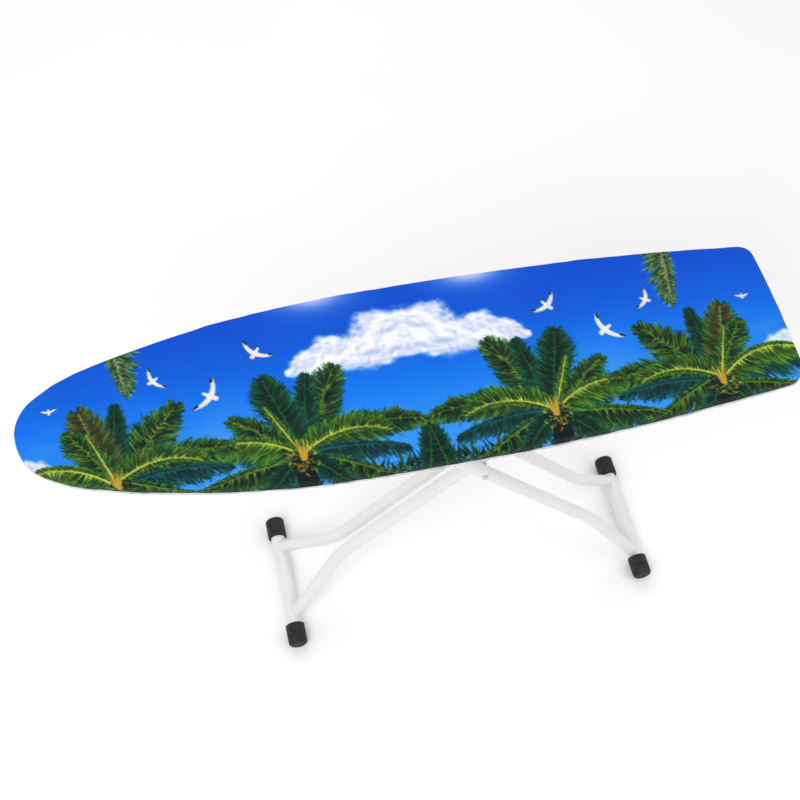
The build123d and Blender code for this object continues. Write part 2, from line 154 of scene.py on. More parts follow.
def mesh_object(name, vertices, faces, material):
    """A smooth-shaded object from arrays of vertices and four-sided faces."""
    mesh = bpy.data.meshes.new(name)
    vertices = np.asarray(vertices, np.float32)
    faces = np.asarray(faces, np.int32)
    mesh.vertices.add(len(vertices))
    mesh.vertices.foreach_set("co", vertices.ravel())
    mesh.loops.add(faces.size)
    mesh.loops.foreach_set("vertex_index", faces.ravel())
    mesh.polygons.add(len(faces))
    mesh.polygons.foreach_set("loop_start", np.arange(len(faces), dtype=np.int32) * faces.shape[1])
    mesh.update(calc_edges=True)
    mesh.validate()
    mesh.shade_smooth()
    mesh.materials.append(material)
    o = bpy.data.objects.new(name, mesh)
    link(o)
    return o


def apply_modifiers(o):
    """Replace an object's mesh by what its modifiers make of it."""
    graph = bpy.context.evaluated_depsgraph_get()
    mesh = bpy.data.meshes.new_from_object(o.evaluated_get(graph), preserve_all_data_layers=True,
                                           depsgraph=graph)
    o.modifiers.clear()
    o.data = mesh
    mesh.shade_smooth()


def grid_faces(index):
    """Four-sided faces of a grid, from its index table."""
    return np.stack([index[:-1, :-1], index[1:, :-1], index[1:, 1:], index[:-1, 1:]], -1).reshape(-1, 4)


def strip_faces(ring_a, ring_b):
    """Four-sided faces between two closed rings."""
    return np.stack([ring_a, np.roll(ring_a, -1), np.roll(ring_b, -1), ring_b], -1)


def smooth(a, b, v):
    """An eased step from 0 where v is a to 1 where v is b."""
    t = np.clip((v - a) / (b - a), 0, 1)
    return t * t * (3 - 2 * t)


NOISE_CELLS = 256
OCTAVE_SHARE = 0.55


def noise(x, y, size, seed):
    """Smooth value noise from 0 to 1 with features of the given size."""
    table = np.random.default_rng(seed).random((NOISE_CELLS, NOISE_CELLS))
    px, py = x / size + 40.3, y / size + 40.7
    ix, iy = np.floor(px).astype(int), np.floor(py).astype(int)
    fx, fy = px - ix, py - iy
    fx, fy = fx * fx * (3 - 2 * fx), fy * fy * (3 - 2 * fy)
    ix, iy = ix % NOISE_CELLS, iy % NOISE_CELLS
    jx, jy = (ix + 1) % NOISE_CELLS, (iy + 1) % NOISE_CELLS
    low = table[iy, ix] * (1 - fx) + table[iy, jx] * fx
    high = table[jy, ix] * (1 - fx) + table[jy, jx] * fx
    return low * (1 - fy) + high * fy


def fractal(x, y, size, seed, octaves=4):
    """Noise of several sizes added up, each half as large and weaker than the one before."""
    total, weight, amount = 0, 0, 1
    for k in range(octaves):
        total = total + amount * noise(x, y, size / 2 ** k, seed + k)
        weight += amount
        amount *= OCTAVE_SHARE
    return total / weight


# ---------------------------------------------------------------- materials
# A Mix node has one set of sockets for each kind of data, and these are its colour ones
MIX_COLOUR_A, MIX_COLOUR_B, MIX_COLOUR_RESULT = 6, 7, 2


class Finish:
    """A procedural material built round one Principled shader."""

    def __init__(self, name, **constants):
        self.material = bpy.data.materials.new(name)
        self.material.use_nodes = True
        self.nodes = self.material.node_tree.nodes
        self.shader = self.nodes["Principled BSDF"]
        self.place = self.add("ShaderNodeTexCoord").outputs["Object"]
        for socket, value in constants.items():
            self.shader.inputs[socket.replace("_", " ")].default_value = value

    def add(self, kind, **settings):
        node = self.nodes.new(kind)
        for key, value in settings.items():
            setattr(node, key, value)
        return node

    def join(self, output, socket):
        self.material.node_tree.links.new(output, socket)

    def noise(self, scale, detail=4.0, stretch=(1, 1, 1)):
        """Noise whose scale counts features in a metre, stretched along an axis if asked."""
        mapping = self.add("ShaderNodeMapping")
        mapping.inputs["Scale"].default_value = stretch
        self.join(self.place, mapping.inputs["Vector"])
        node = self.add("ShaderNodeTexNoise")
        node.inputs["Scale"].default_value = scale
        node.inputs["Detail"].default_value = detail
        self.join(mapping.outputs["Vector"], node.inputs["Vector"])
        return node.outputs["Fac"]

    def threads(self, axis, period):
        """Fine parallel threads across an axis, a period apart.

        At scale 1 a wave texture repeats every 2 pi / 20."""
        node = self.add("ShaderNodeTexWave", bands_direction=axis)
        node.inputs["Scale"].default_value = 2 * math.pi / (20 * period)
        node.inputs["Distortion"].default_value = 0.6
        node.inputs["Detail"].default_value = 1.0
        self.join(self.place, node.inputs["Vector"])
        return node.outputs["Fac"]

    def math(self, operation, a, b):
        node = self.add("ShaderNodeMath", operation=operation)
        for value, socket in zip((a, b), node.inputs):
            if isinstance(value, (int, float)):
                socket.default_value = value
            else:
                self.join(value, socket)
        return node.outputs["Value"]

    def ramp(self, value, stops):
        node = self.add("ShaderNodeValToRGB")
        elements = node.color_ramp.elements
        for element, (place, colour) in zip((elements[0], elements[1]), (stops[0], stops[-1])):
            element.position = place
            element.color = (*colour, 1)
        for place, colour in stops[1:-1]:
            elements.new(place).color = (*colour, 1)
        self.join(value, node.inputs["Fac"])
        return node.outputs["Color"]

    def tint(self, colour, factor, shade):
        """Multiply a colour by a shade, as far as a factor says."""
        node = self.add("ShaderNodeMix", data_type="RGBA", blend_type="MULTIPLY")
        node.inputs["Factor"].default_value = factor
        self.join(colour, node.inputs[MIX_COLOUR_A])
        self.join(shade, node.inputs[MIX_COLOUR_B])
        return node.outputs[MIX_COLOUR_RESULT]

    def colour(self, output):
        self.join(output, self.shader.inputs["Base Color"])

    def roughness(self, value, low, high):
        node = self.add("ShaderNodeMapRange")
        node.inputs["To Min"].default_value = low
        node.inputs["To Max"].default_value = high
        self.join(value, node.inputs["Value"])
        self.join(node.outputs["Result"], self.shader.inputs["Roughness"])

    def bumps(self, *layers):
        """Stack bump layers, each a height, a strength and a depth in metres."""
        below = None
        for height, strength, depth in layers:
            bump = self.add("ShaderNodeBump")
            bump.inputs["Strength"].default_value = strength
            bump.inputs["Distance"].default_value = depth
            self.join(height, bump.inputs["Height"])
            if below:
                self.join(below, bump.inputs["Normal"])
            below = bump.outputs["Normal"]
        self.join(below, self.shader.inputs["Normal"])


def cover_finish():
    """Printed cotton: the print is a colour attribute under a plain weave with a soft sheen."""
    f = Finish("cover_print", Sheen_Weight=0.04, Sheen_Roughness=0.5, Specular_IOR_Level=0.14)
    printed = f.add("ShaderNodeAttribute", attribute_name="print").outputs["Color"]
    weave = f.math("MULTIPLY", f.threads("X", 0.9 * MM), f.threads("Y", 0.9 * MM))
    slub = f.noise(260, 3, (0.25, 1, 1))
    shade = f.ramp(weave, ((0.0, (0.86, 0.86, 0.88)), (0.7, (1, 1, 1))))
    worn = f.ramp(f.noise(9, 5), ((0.3, (0.93, 0.94, 0.95)), (0.6, (1, 1, 1))))
    f.colour(f.tint(f.tint(printed, 1.0, shade), 1.0, worn))
    f.roughness(slub, 0.74, 0.92)
    f.bumps((f.noise(38, 3), 0.25, 0.5 * MM), (slub, 0.2, 0.15 * MM), (weave, 0.5, 0.12 * MM))
    return f.material


def tape_finish():
    """White elastic binding: close ribs with a few grey shadows of handling."""
    f = Finish("hem_tape", Sheen_Weight=0.2)
    ribs = f.math("MAXIMUM", f.threads("X", 1.6 * MM), f.threads("Z", 0.8 * MM))
    f.colour(f.ramp(f.noise(45, 5), ((0.3, (0.42, 0.44, 0.48)), (0.62, (0.72, 0.73, 0.75)))))
    f.roughness(ribs, 0.7, 0.88)
    f.bumps((f.noise(120, 3), 0.3, 0.5 * MM), (ribs, 0.6, 0.2 * MM))
    return f.material


def felt_finish():
    """Grey-beige needle felt: matted fibres with darker and lighter flecks."""
    f = Finish("felt", Sheen_Weight=0.4)
    fibres = f.math("ADD", f.noise(900, 6, (0.12, 1, 1)), f.noise(900, 6, (1, 0.12, 1)))
    f.colour(f.ramp(f.math("MULTIPLY", fibres, 0.5), ((0.38, (0.2, 0.19, 0.17)), (0.5, (0.48, 0.46, 0.42)),
                                                    (0.62, (0.72, 0.7, 0.64)))))
    f.roughness(fibres, 0.85, 0.97)
    f.bumps((f.noise(60, 4), 0.3, 1 * MM), (fibres, 0.8, 0.3 * MM))
    return f.material


def paint_finish():
    """Light grey gloss paint on steel: orange peel, faint scuffs and a faint random mottle of dust."""
    f = Finish("white_steel", Coat_Weight=0.25, Coat_Roughness=0.2)
    scuffs = f.noise(170, 8, (1, 1, 0.2))
    dust = f.noise(14, 5)
    base = f.ramp(dust, ((0.3, (0.745, 0.74, 0.725)), (0.65, (0.785, 0.78, 0.765))))
    marks = f.ramp(scuffs, ((0.66, (1, 1, 1)), (0.74, (0.8, 0.8, 0.81))))
    f.colour(f.tint(base, 0.5, marks))
    f.roughness(scuffs, 0.28, 0.44)
    f.bumps((f.noise(420, 2), 0.08, 0.08 * MM), (scuffs, 0.05, 0.05 * MM))
    return f.material


def rubber_finish():
    """Black moulded rubber: matt grain with pale dust rubbed into it."""
    f = Finish("black_rubber", Specular_IOR_Level=0.35)
    grain = f.noise(1500, 3)
    dust = f.noise(70, 7)
    f.colour(f.ramp(dust, ((0.42, (0.008, 0.008, 0.009)), (0.75, (0.035, 0.034, 0.033)))))
    f.roughness(dust, 0.5, 0.78)
    f.bumps((grain, 0.3, 0.15 * MM), (f.noise(160, 3), 0.12, 0.3 * MM))
    return f.material


def plastic_finish():
    """Black moulded plastic: a fine spark-eroded texture, polished where it is handled."""
    f = Finish("black_plastic")
    grain = f.noise(2200, 2)
    wear = f.noise(55, 4)
    f.colour(f.ramp(wear, ((0.35, (0.012, 0.012, 0.014)), (0.7, (0.028, 0.028, 0.03)))))
    f.roughness(wear, 0.32, 0.56)
    f.bumps((grain, 0.25, 0.08 * MM))
    return f.material


def zinc_finish():
    """Bright zinc plating: a faint crystalline mottle with dull spots."""
    f = Finish("zinc_steel", Metallic=1.0)
    mottle = f.noise(240, 6)
    f.colour(f.ramp(mottle, ((0.3, (0.6, 0.61, 0.63)), (0.7, (0.7, 0.71, 0.72)))))
    f.roughness(f.noise(500, 5, (1, 0.15, 1)), 0.3, 0.44)
    f.bumps((mottle, 0.05, 0.05 * MM))
    return f.material


def nylon_finish():
    """Natural nylon: milky, with soft flow marks."""
    f = Finish("white_nylon", Subsurface_Weight=0.15, Subsurface_Scale=2 * MM)
    flow = f.noise(120, 4, (0.3, 1, 1))
    f.colour(f.ramp(flow, ((0.35, (0.7, 0.69, 0.65)), (0.65, (0.82, 0.81, 0.78)))))
    f.roughness(flow, 0.36, 0.5)
    f.bumps((flow, 0.1, 0.1 * MM))
    return f.material


FINISHES = {"white_steel": paint_finish(), "black_rubber": rubber_finish(),
            "black_plastic": plastic_finish(), "zinc_steel": zinc_finish(),
            "white_nylon": nylon_finish()}
node_slots = {part["node"]: part["material_slot"] for part in frame["record"]["subparts"]}
for node, cad_object in frame["nodes"].items():
    if node_slots[node] in FINISHES:
        for slot in cad_object.material_slots:
            slot.material = FINISHES[node_slots[node]]

# ---------------------------------------------------------------- the print's canvas, in millimetres
# One half of a print that is mirrored about the middle of the board: x runs to the tail, y across
STEP = 0.8
PRINT_X = (-6.0, 592.0)
PRINT_Y = (-186.0, 186.0)
draw = np.random.default_rng(7)
X, Y = np.meshgrid(np.arange(*PRINT_X, STEP), np.arange(*PRINT_Y, STEP))
PAINT = np.zeros((*X.shape, 3))


def rgb(r, g, b):
    """A colour from its levels, 0 to 255."""
    return np.array([r, g, b]) / 255


INK = rgb(9, 24, 28)
DEEP = rgb(12, 60, 46)
GREEN = rgb(28, 112, 52)
TEAL = rgb(16, 104, 92)
SEA = rgb(14, 92, 122)
LIME = rgb(132, 190, 48)
YELLOW = rgb(222, 226, 84)
BROWN = rgb(112, 104, 44)
PALE = rgb(196, 222, 140)
WHITE = rgb(250, 252, 255)

# What each kind of frond is painted with: inner leaflets, tips, light, share of lit leaflets, glint
SHADED = {"body": INK, "tips": TEAL, "lit": GREEN, "light": 0.5, "glint": 0.0, "rib": GREEN}
MIDDLE = {"body": INK, "tips": GREEN, "lit": LIME, "light": 0.55, "glint": 0.05, "rib": LIME * 0.8}
SUNNY = {"body": DEEP * 0.7, "tips": GREEN, "lit": LIME, "light": 1.15, "glint": 0.3, "rib": YELLOW}
COOL = {"body": rgb(8, 32, 44), "tips": SEA, "lit": TEAL * 1.3, "light": 0.6, "glint": 0.0, "rib": TEAL}
DRY = {"body": rgb(18, 36, 30), "tips": GREEN, "lit": BROWN * 1.3, "light": 1.0, "glint": 0.0,
       "rib": PALE * 0.8}


def lay(alpha, colour, area=np.s_[:, :]):
    """Paint a colour over the canvas with a given cover."""
    PAINT[area] = PAINT[area] * (1 - alpha[..., None]) + alpha[..., None] * colour


def window(xs, ys, pad):
    """The part of the canvas that holds some points and a margin."""
    i = [int((x - PRINT_X[0]) / STEP) for x in (min(xs) - pad, max(xs) + pad)]
    j = [int((y - PRINT_Y[0]) / STEP) for y in (min(ys) - pad, max(ys) + pad)]
    return np.s_[max(j[0] - 1, 0):max(j[1] + 2, 0), max(i[0] - 1, 0):max(i[1] + 2, 0)]


def blade(start, tip, bow, width, root_colour, tip_colour, strength=1.0, taper=0.75):
    """One tapered, slightly bowed leaflet."""
    start, tip = np.asarray(start, float), np.asarray(tip, float)
    chord = tip - start
    length = np.hypot(*chord)
    if length < 0.5:
        return
    ahead = chord / length
    across = np.array([-ahead[1], ahead[0]])
    middle = (start + tip) / 2 + across * bow
    area = window((start[0], tip[0], middle[0]), (start[1], tip[1], middle[1]), width + 1)
    gx, gy = X[area] - start[0], Y[area] - start[1]
    if gx.size == 0:
        return
    s = (gx * ahead[0] + gy * ahead[1]) / length
    off = gx * across[0] + gy * across[1] - 4 * bow * s * (1 - s)
    half = width * 0.5 * np.clip(1.15 - s, 0, 1) ** taper * np.clip(s * 8 + 0.5, 0, 1)
    alpha = np.clip((half - np.abs(off)) / STEP + 0.5, 0, 1) * (s > -0.02) * (s < 1.0) * strength
    t = np.clip(s, 0, 1)[..., None]
    lay(alpha, root_colour * (1 - t) + tip_colour * t, area)


def leaflet(layer, root, along, size, bow, look):
    """One leaflet: a dark inner one, a coloured one over it, or a streak of light."""
    shade = draw.random()
    tip = root + along * size
    lit = look["lit"] * (0.4 + 0.6 * shade)
    if layer == 0:
        blade(root, root + along * size * 0.86, bow, 4.6, look["body"] * (0.7 + 0.4 * shade),
              look["body"] * 0.55 + look["tips"] * 0.35, taper=0.5)
    elif layer == 1:
        near = DEEP * (1 - shade) + GREEN * shade
        blade(root + along * size * 0.1, tip, bow, 2.3, look["body"] * 0.85 + near * 0.1,
              look["tips"] * (0.3 + 0.7 * shade) + near * 0.25)
    elif layer == 2:
        blade(root + along * size * (0.2 + 0.5 * draw.random()), tip, bow * 0.6, 1.9,
              lit * 0.55, lit + GREEN * 0.2, 0.95)
    else:
        tone = lit + look["glint"] * YELLOW * shade
        blade(root + along * size * 0.04, root + along * size * (0.25 + 0.4 * draw.random()),
              bow * 0.3, 1.8, tone, tone * 0.4, 0.9)


def frond(root, angle, length, fall, upper, lower, look, ragged=0.35):
    """A palm frond that leaves its root at an angle and falls over with its own weight.

    upper and lower are the lengths of the leaflets above and below the rib."""
    count = int(length / 1.25)
    t = np.linspace(0, 1, count)
    a = math.radians(angle)
    line = np.stack([root[0] + length * t * math.cos(a),
                     root[1] + length * t * math.sin(a) - fall * length * t * t], 1)
    tangent = np.gradient(line, axis=0)
    tangent /= np.hypot(*tangent.T)[:, None]
    clump = noise(t * length, 0 * t, 11, int(draw.integers(1000))) * 4 - 2
    first, second = (upper, lower) if math.cos(a) > 0 else (lower, upper)
    for layer, chance in enumerate((1.0, 0.8, look["light"] * 0.75, look["light"] * 0.5)):
        for i in range(count):
            grow = math.sin(math.pi * (t[i] * 0.84 + 0.13)) ** 0.5
            for side, reach in ((1, first), (-1, second)):
                if draw.random() > chance:
                    continue
                across = np.array([-tangent[i][1], tangent[i][0]]) * side
                sweep = math.radians((32 + 7 * clump[i] * side + 9 * draw.normal()) * (0.6 + 0.9 * t[i]))
                size = reach * grow * (1 - ragged * draw.random()) * (1 + 0.08 * clump[i])
                along = across * math.cos(sweep) + tangent[i] * math.sin(sweep)
                leaflet(layer, line[i], along, size, side * size * (0.03 + 0.05 * draw.random()), look)
    for k in range(0, count - 2, 2):
        fade = 1 - 0.8 * k / count
        blade(line[k], line[k + 2] * 1.4 - line[k] * 0.4, 0, 1.3 + 1.4 * fade, look["rib"] * 0.9,
              look["rib"], 0.35 + 0.6 * fade, taper=0.1)


CROWN_BITS = 110
FULL_TURN = 6.283


def crown(cx, cy):
    """The heart of a palm: a shadowed trunk, dark nuts and yellow stalks."""
    rough = 9 * (fractal(X, Y, 9, 31, 3) - 0.5)
    lay(smooth(15, 12, np.hypot((X - cx) * 0.9, (Y - cy + 38) * 0.4) + rough), INK)
    lay(smooth(17, 13, np.hypot((X - cx) * 0.8, Y - cy + 10) + rough), INK)
    tones = (BROWN, rgb(196, 120, 50), LIME, INK, DEEP, GREEN, INK)
    for _ in range(CROWN_BITS):
        a, r, turn = draw.random(3) * (FULL_TURN, 21, FULL_TURN) + (0, 2, 0)
        start = np.array([cx + r * math.cos(a), cy - 8 + r * math.sin(a) * 0.9])
        tone = tones[draw.integers(len(tones))]
        blade(start, start + 9 * np.array([math.cos(turn), math.sin(turn)]), 1, 2.6, tone, tone * 0.5)
    for k in range(9):
        lean = (k - 4) * 1.7 + draw.random()
        blade((cx + lean * 0.3, cy - 8), (cx + lean * 1.5, cy + 16 + 12 * draw.random()), 0.6, 2.6,
              rgb(206, 150, 50), (rgb(214, 186, 60), LIME, BROWN)[k % 3])


# The fronds of one palm, back to front: angle, length, fall, leaflets above and below, and look
PALM = ((118, 146, 0.05, 42, 42, MIDDLE), (97, 128, 0.03, 28, 28, SHADED), (72, 142, 0.08, 40, 42, SHADED),
        (55, 120, 0.10, 26, 34, MIDDLE), (152, 196, 0.32, 28, 42, MIDDLE), (24, 168, 0.30, 16, 44, COOL),
        (166, 150, 0.22, 10, 36, COOL), (194, 150, 0.18, 10, 40, MIDDLE), (-8, 150, 0.16, 12, 38, MIDDLE),
        (226, 84, 0.1, 22, 26, SHADED), (-44, 88, 0.1, 22, 26, SHADED), (38, 166, 0.48, 12, 42, SUNNY),
        (143, 150, 0.50, 34, 12, SUNNY), (68, 88, 0.02, 9, 9, SUNNY))


def palm(cx, cy, scale, looks=None):
    """A palm with its fronds a little different each time."""
    for index, (angle, length, fall, upper, lower, look) in enumerate(PALM):
        chosen = (looks or {}).get(index, look)
        frond((cx + 3 * draw.normal(), cy + 3 * draw.normal()), angle + 4 * draw.normal(),
              length * scale * (0.94 + 0.12 * draw.random()), fall, upper, lower, chosen)
    crown(cx, cy)


def sky():
    """Deep blue at the far edge that turns paler towards the near one, with a soft haze."""
    depth = smooth(-150, 150, Y + 18 * (fractal(X, Y, 120, 3) - 0.5))[..., None]
    low, middle, high = rgb(52, 150, 246), rgb(4, 112, 232), rgb(0, 76, 204)
    near_half = low + (middle - low) * depth * 2
    far_half = middle + (high - middle) * (depth * 2 - 1)
    PAINT[:] = np.where(depth < 0.5, near_half, far_half)
    haze = smooth(0.52, 0.8, fractal(X * 0.6, Y, 70, 21)) * smooth(60, -80, Y) * 0.3
    lay(haze, rgb(130, 178, 246))
    glow = np.hypot((X - 118) / 1.9, Y - 154)
    lay(0.6 * np.exp(-(glow / 34) ** 2), rgb(130, 160, 248))
    lay(0.95 * np.exp(-(glow / 18) ** 2), rgb(240, 238, 255))


def cloud(cx, cy, width, height, seed):
    """A heaped cloud: round lobes over a ragged base, bright above and shaded in its folds."""
    lobes = np.random.default_rng(seed)
    field = np.full(X.shape, -9.0)
    for place in np.linspace(-0.95, 0.95, 14):
        tall = height * math.sqrt(1 - place * place) * lobes.uniform(0.55, 1.0)
        radius = max(tall * 0.55, 7)
        centre = (cx + (place + lobes.uniform(-0.05, 0.05)) * width, cy + tall * 0.45)
        field = np.maximum(field, 1 - np.hypot((X - centre[0]) / (radius * 1.35), (Y - centre[1]) / radius))
    edge = field + 1.1 * (fractal(X, Y * 1.2, 38, seed, 6) - 0.5)
    base = smooth(cy - 18, cy + 4, Y + 26 * (fractal(X, Y, 34, seed + 3, 5) - 0.5))
    alpha = smooth(-0.06, 0.3, edge) * base
    puffs = fractal(X, Y * 1.2, 26, seed + 9, 5) - fractal(X + 3, Y * 1.2 + 5, 26, seed + 9, 5)
    under = smooth(cy + height * 0.6, cy - 8, Y)
    shade = np.clip(0.1 + 1.6 * puffs + 0.16 * under, 0, 0.42)[..., None]
    lay(alpha, WHITE * (1 - shade * np.array([0.62, 0.5, 0.18])))


def bird(cx, cy, size, turn):
    """A plain white seabird: two bowed wings with dark tips and a short body."""
    cream, dark = rgb(246, 244, 232), rgb(30, 34, 34)
    centre = np.array([cx, cy])
    for side in (-1, 1):
        a = math.radians(turn + side * 66)
        tip = centre + size * np.array([math.cos(a), math.sin(a)])
        blade(centre, tip, 0.1 * side * size, 0.26 * size, cream, cream * 0.9, taper=0.55)
        blade(centre * 0.28 + tip * 0.72, tip * 1.03 - centre * 0.03, 0, 0.14 * size, dark, dark, taper=0.5)
    ahead = 0.36 * size * np.array([math.cos(math.radians(turn)), math.sin(math.radians(turn))])
    blade(centre - ahead, centre + ahead, 0.4, 0.24 * size, cream * 0.94, cream, taper=0.35)
    lay(smooth(0.07, 0.04, np.hypot(X - cx - ahead[0], Y - cy - ahead[1]) / size), cream)


LOW_LEAVES = 900


def undergrowth():
    """Low leaves along the near edge, which also run down over the cover's side."""
    for _ in range(LOW_LEAVES):
        x, y = draw.uniform(0, 590), draw.uniform(-184, -140)
        tone = (LIME, DEEP, GREEN, INK, TEAL, DEEP)[draw.integers(6)] * (0.6 + 0.5 * draw.random())
        blade((x, y - 6), (x + draw.uniform(-16, 16), y + draw.uniform(6, 20)), draw.uniform(-2, 2), 3.4,
              tone * 0.5, tone)


def scenery():
    """Paint the whole canvas, back to front."""
    sky()
    cloud(0, 20, 172, 92, 5)
    cloud(560, -96, 46, 62, 11)
    for place in ((216, 70, 27, 128), (287, 12, 31, 34), (362, 52, 22, 150), (506, 30, 13, 88)):
        bird(*place)
    frond((420, 178), 262, 138, 0.02, 40, 20, DRY | {"lit": PALE, "tips": GREEN, "body": DEEP}, ragged=0.5)
    undergrowth()
    frond((14, -170), 100, 96, 0.05, 24, 34, SHADED)
    palm(178, -104, 1.0)
    palm(428, -102, 0.98, {2: DRY, 11: SUNNY | {"glint": 0.5}})


def print_colours(flat):
    """The print's colours, in linear light, at places on the flat cloth in millimetres."""
    u = (np.abs(flat[:, 0]) - PRINT_X[0]) / STEP
    v = (flat[:, 1] - PRINT_Y[0]) / STEP
    u = np.clip(u, 0, PAINT.shape[1] - 1.001)
    v = np.clip(v, 0, PAINT.shape[0] - 1.001)
    i, j = u.astype(int), v.astype(int)
    fu, fv = (u - i)[:, None], (v - j)[:, None]
    c = ((PAINT[j, i] * (1 - fu) + PAINT[j, i + 1] * fu) * (1 - fv)
         + (PAINT[j + 1, i] * (1 - fu) + PAINT[j + 1, i + 1] * fu) * fv)
    c = np.clip(c, 0, 1)
    return np.where(c < 0.04045, c / 12.92, ((c + 0.055) / 1.055) ** 2.4)


# ---------------------------------------------------------------- cover
ROWS, COLUMNS = 172, 48
EDGE_INSET = 9 * MM
FLAT_MARGIN = 26 * MM
RIM_STATIONS = 600
RIM_CHUNK = 60
SIM_FRAMES = 16
# How far the cloth may move out or up, and in or down: the steel rim is 1.4 mm inside
MOST_MOVE = 2.5 * MM
MOST_SINK = 0.6 * MM
SLACK = 0.05
EDGE_HOLD = 0.3
# Sizes of the creases that the cloth starts with
RUFFLE = 1.4 * MM
SWAY = 1.8 * MM
EDGE_LUMPS = 0.7 * MM
# The side's profile below the flat grid: how far out of the grid's edge and how far down
COVER_PROFILE = ((3.4, 0.0), (6.0, -0.4), (7.8, -1.7), (8.7, -3.8), (9.0, -6.4), (9.0, -9.6),
                 (9.0, -13.0), (8.9, -16.6), (8.7, -20.0), (5.6, -20.6))


def cover_shape():
    """The tight cover: a flat grid and a rolled side.

    Also gives where each point lies on the flat cloth, its row down the side (-1 on the flat
    grid) and the outward normals of the grid's edge."""
    patch, index, loop, outward = plan_grid(EDGE_INSET, ROWS, COLUMNS)
    top = np.concatenate([patch, np.full((index.size, 1), COVER_HIGH.z)], 1)
    points, faces, cloth = [top], [grid_faces(index)], [patch]
    ring, count = loop, index.size
    run, last = 0.0, (0.0, 0.0)
    for out, down in COVER_PROFILE:
        run += math.hypot(out - last[0], down - last[1]) * MM
        last = (out, down)
        shift = np.concatenate([outward * out * MM, np.full((len(loop), 1), down * MM)], 1)
        points.append(top[loop] + shift)
        cloth.append(patch[loop] + outward * run)
        new = np.arange(count, count + len(loop))
        faces.append(strip_faces(ring, new))
        ring, count = new, count + len(loop)
    rows = [np.full(len(loop), k) for k in range(len(COVER_PROFILE))]
    depth = np.concatenate([np.full(index.size, -1)] + rows)
    return np.concatenate(points), np.concatenate(faces)[:, ::-1], np.concatenate(cloth), depth, outward


def edge_distance(points):
    """How far inside the top's edge each point of the plan lies."""
    rim, _ = perimeter(0, RIM_STATIONS)
    nearest = np.full(len(points), np.inf)
    for start in range(0, len(rim), RIM_CHUNK):
        part = rim[start:start + RIM_CHUNK]
        gap = np.hypot(points[:, None, 0] - part[None, :, 0], points[:, None, 1] - part[None, :, 1])
        nearest = np.minimum(nearest, gap.min(1))
    return nearest


def pull_tight(cover, held, loose):
    """Let the cloth of the side buckle: it is cut a little long and its lower edge is held."""
    pins = cover.vertex_groups.new(name="held")
    for weight in np.unique(held):
        pins.add(np.flatnonzero(held == weight).tolist(), float(weight), "REPLACE")
    slack = cover.vertex_groups.new(name="slack")
    slack.add(np.flatnonzero(loose).tolist(), 1.0, "REPLACE")
    cloth = cover.modifiers.new("cloth", "CLOTH").settings
    cloth.quality = 6
    cloth.mass = 0.15
    cloth.tension_stiffness = 25
    cloth.compression_stiffness = 25
    cloth.shear_stiffness = 12
    cloth.bending_stiffness = 0.4
    cloth.vertex_group_mass = "held"
    cloth.use_pressure = True
    cloth.uniform_pressure_force = 1.5
    cloth.vertex_group_shrink = "slack"
    cloth.shrink_min = 0.0
    cloth.shrink_max = -SLACK
    cloth.effector_weights.gravity = 0
    scene = bpy.context.scene
    scene.frame_start = 1
    scene.frame_end = SIM_FRAMES
    for step in range(1, SIM_FRAMES + 1):
        scene.frame_set(step)
    apply_modifiers(cover)
    scene.frame_set(1)
    cover.vertex_groups.clear()


def read_points(mesh):
    """A mesh's points as an array, in metres."""
    values = np.empty(len(mesh.vertices) * 3, np.float32)
    mesh.vertices.foreach_get("co", values)
    return values.reshape(-1, 3).astype(float)


def lay_print(mesh):
    """Colour a mesh's points by their places on the flat cloth, and drop those places."""
    where = np.empty(len(mesh.vertices) * 3, np.float32)
    mesh.attributes["flat"].data.foreach_get("vector", where)
    scenery()
    colours = print_colours(where.reshape(-1, 3)[:, :2].astype(float) * 1000)
    colours = np.concatenate([colours, np.ones((len(colours), 1))], 1)
    mesh.color_attributes.new("print", "FLOAT_COLOR", "POINT")
    mesh.attributes["print"].data.foreach_set("color", colours.astype(np.float32).ravel())
    mesh.attributes.remove(mesh.attributes["flat"])


